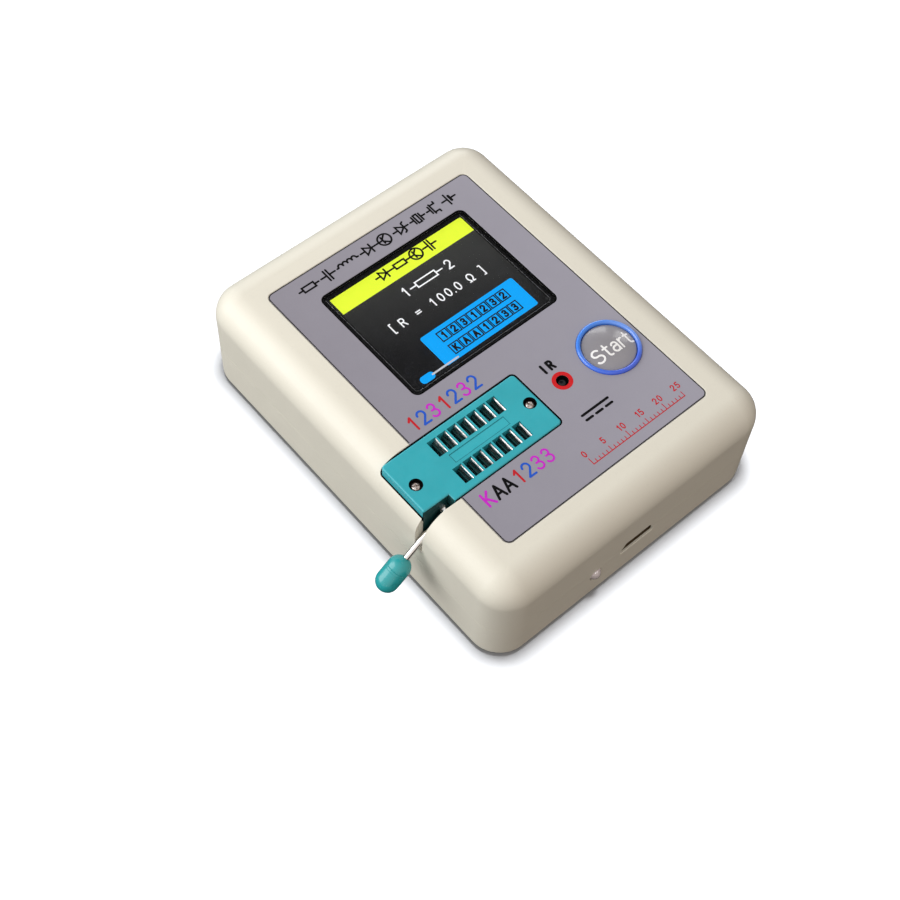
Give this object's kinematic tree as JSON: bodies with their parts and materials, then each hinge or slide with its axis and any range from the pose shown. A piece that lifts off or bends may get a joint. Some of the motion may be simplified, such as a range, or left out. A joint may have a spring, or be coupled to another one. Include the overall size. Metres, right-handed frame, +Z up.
{
  "type": "electronic component tester",
  "caption": "Hand-held component tester: ivory two-part case with a colour display, a push button and a zero-insertion-force test socket clamped by a side lever.",
  "frame": {"origin": "middle of the case's flat underside", "axes": "+X to the right across the face, +Y along the case towards the display end, +Z up out of the face"},
  "size_m": [0.0828, 0.0946, 0.0272],
  "materials": {
    "case_plastic": "fine satin moulded ivory plastic",
    "label_film": "satin printed grey film",
    "window_clear": "clear acrylic with a black printed border",
    "lcd_dark": "dark display glass under a polariser",
    "white_plastic": "white moulded plastic",
    "board_blue": "blue solder mask",
    "board_green": "green solder mask",
    "brass_nickel": "turned brass",
    "screw_steel": "zinc plated steel",
    "black_plastic": "black moulded plastic",
    "gold_pins": "gold flashed",
    "socket_teal": "satin teal glass-filled plastic",
    "socket_teal_dark": "satin teal glass-filled plastic",
    "slider_plastic": "glass-filled nylon",
    "contact_metal": "tin plated bronze",
    "lever_steel": "bright plated steel",
    "knob_teal": "smooth teal plastic",
    "ring_blue": "translucent blue plastic",
    "cap_grey": "smoky translucent plastic",
    "ir_black": "infrared filter resin",
    "usb_metal": "nickel plated sheet",
    "led_clear": "clear epoxy",
    "pouch_foil": "laminated foil",
    "tape_white": "foam tape",
    "lead_red": "silicone insulation",
    "lead_black": "silicone insulation",
    "chip_black": "moulded epoxy",
    "chip_tan": "ceramic"
  },
  "bodies": {
    "case": {"top_shell": "case_plastic", "bottom_shell": "case_plastic", "case_screws": "screw_steel", "face_label": "label_film", "screen_window": "window_clear", "lcd_glass": "lcd_dark", "lcd_backlight": "white_plastic", "lcd_board": "board_blue", "lcd_standoffs": "brass_nickel", "lcd_screws": "screw_steel", "lcd_header_socket": "black_plastic", "lcd_header": "black_plastic", "lcd_pins": "gold_pins", "main_board": "board_green", "board_screws": "screw_steel", "socket_base": "socket_teal_dark", "socket_cover": "socket_teal", "socket_contacts": "contact_metal", "socket_screws": "screw_steel", "button_ring": "ring_blue", "switch_body": "black_plastic", "switch_plate": "usb_metal", "ir_receiver": "ir_black", "ir_legs": "usb_metal", "usb_shell": "usb_metal", "usb_tongue": "black_plastic", "charge_led": "led_clear", "led_legs": "usb_metal", "battery": "pouch_foil", "battery_tape": "tape_white", "battery_lead_red": "lead_red", "battery_lead_black": "lead_black", "battery_plug": "white_plastic", "battery_socket": "white_plastic", "microcontroller": "chip_black", "microcontroller_pins": "usb_metal", "crystal": "usb_metal", "power_inductor": "chip_black", "charger_chip": "chip_black", "chip_parts": "chip_tan"},
    "lever": {"lever_rod": "lever_steel", "lever_knob": "knob_teal"},
    "slider": {"socket_slider": "slider_plastic"},
    "button": {"start_button": "cap_grey", "switch_plunger": "white_plastic"}
  },
  "joints": [
    {"name": "lever_hinge", "type": "hinge", "parent": "case", "child": "lever", "pos_m": [-0.0295, -0.02275, 0.023], "axis": [0, 1, 0], "range_deg": [0, 125]},
    {"name": "slider_slide", "type": "slide", "parent": "case", "child": "slider", "axis": [-1, 0, 0], "range_m": [0, 0.001]},
    {"name": "button_press", "type": "slide", "parent": "case", "child": "button", "axis": [0, 0, -1], "range_m": [0, 0.00035], "stiffness_N_per_m": 3000}
  ],
  "couplings": [
    {"joint": "slider_slide", "follows": "lever_hinge", "m_per_rad": 0.000458}
  ]
}
